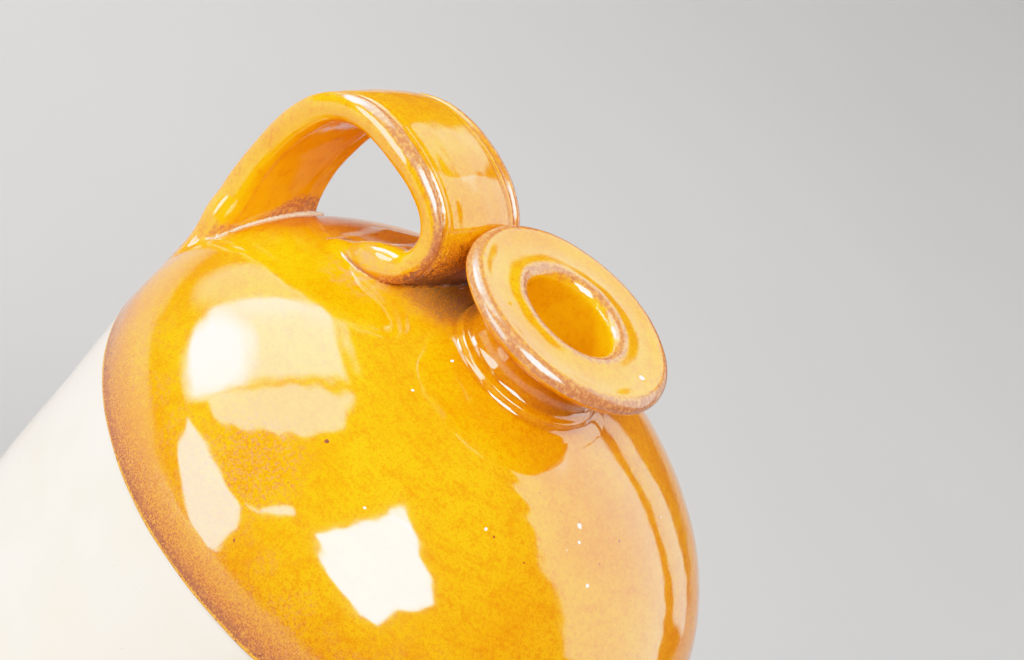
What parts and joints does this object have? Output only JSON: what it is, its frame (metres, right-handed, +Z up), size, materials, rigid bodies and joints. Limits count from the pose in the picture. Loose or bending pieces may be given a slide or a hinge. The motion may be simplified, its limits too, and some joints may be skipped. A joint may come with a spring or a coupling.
{
  "type": "stoneware demijohn",
  "caption": "Glazed stoneware jar for liquids: cream cylinder, amber domed shoulder, short waisted neck, flat flanged mouth and a wide strap handle.",
  "frame": {"origin": "centre of the flat foot, on the surface that the jar stands on", "axes": "+Z up along the jar's axis, -X towards the strap handle, +Y to the left of someone who faces the jar from the handle's side"},
  "size_m": [0.1862, 0.1838, 0.2852],
  "materials": {
    "cream_glaze": "glossy cream glaze with fine specks",
    "bare_stoneware": "bare fired clay",
    "amber_glaze": "glossy mottled honey glaze",
    "pale_slip": "thin glaze over pale slip"
  },
  "bodies": {
    "root": {"floor_disc": "bare_stoneware", "lower_wall": "cream_glaze", "shoulder": "amber_glaze", "neck_collar": "amber_glaze", "mouth_ring": "amber_glaze", "strap_handle": "amber_glaze", "handle_slip": "pale_slip"}
  },
  "joints": []
}
